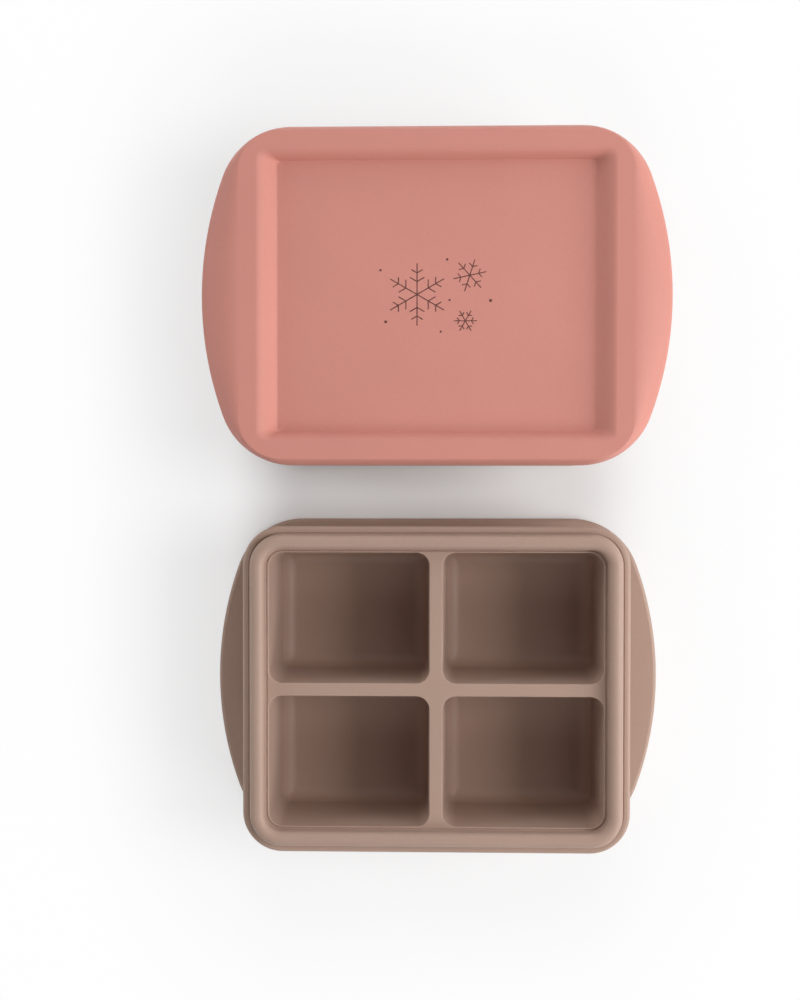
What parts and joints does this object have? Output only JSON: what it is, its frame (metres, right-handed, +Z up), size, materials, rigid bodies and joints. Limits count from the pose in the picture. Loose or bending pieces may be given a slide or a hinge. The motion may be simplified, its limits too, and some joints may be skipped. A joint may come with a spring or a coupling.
{
  "type": "baby food freezer tray",
  "caption": "Soft freezer tray with deep square cups, a raised sealing bead and an eared foot plate, shown once closed under its lid and once open.",
  "frame": {"origin": "on the table, at the middle of the pair of trays", "axes": "+Z up, +X to the right along the long side of a tray, +Y to the back, from the open tray to the closed one"},
  "size_m": [0.1612, 0.251, 0.0493],
  "materials": {
    "tray_silicone": "matt soft silicone, warm taupe",
    "lid_silicone": "matt soft silicone, pale coral"
  },
  "bodies": {
    "closed_tray": {"closed_tray": "tray_silicone"},
    "lid": {"lid": "lid_silicone"},
    "open_tray": {"open_tray": "tray_silicone"}
  },
  "joints": [
    {"name": "lid_lift", "type": "slide", "parent": "closed_tray", "child": "lid", "axis": [0, 0, 1], "range_m": [0, 0.08]},
    {"name": "tray_lift", "type": "slide", "parent": "closed_tray", "child": "open_tray", "axis": [0, 0, 1], "range_m": [0, 0.08]}
  ]
}
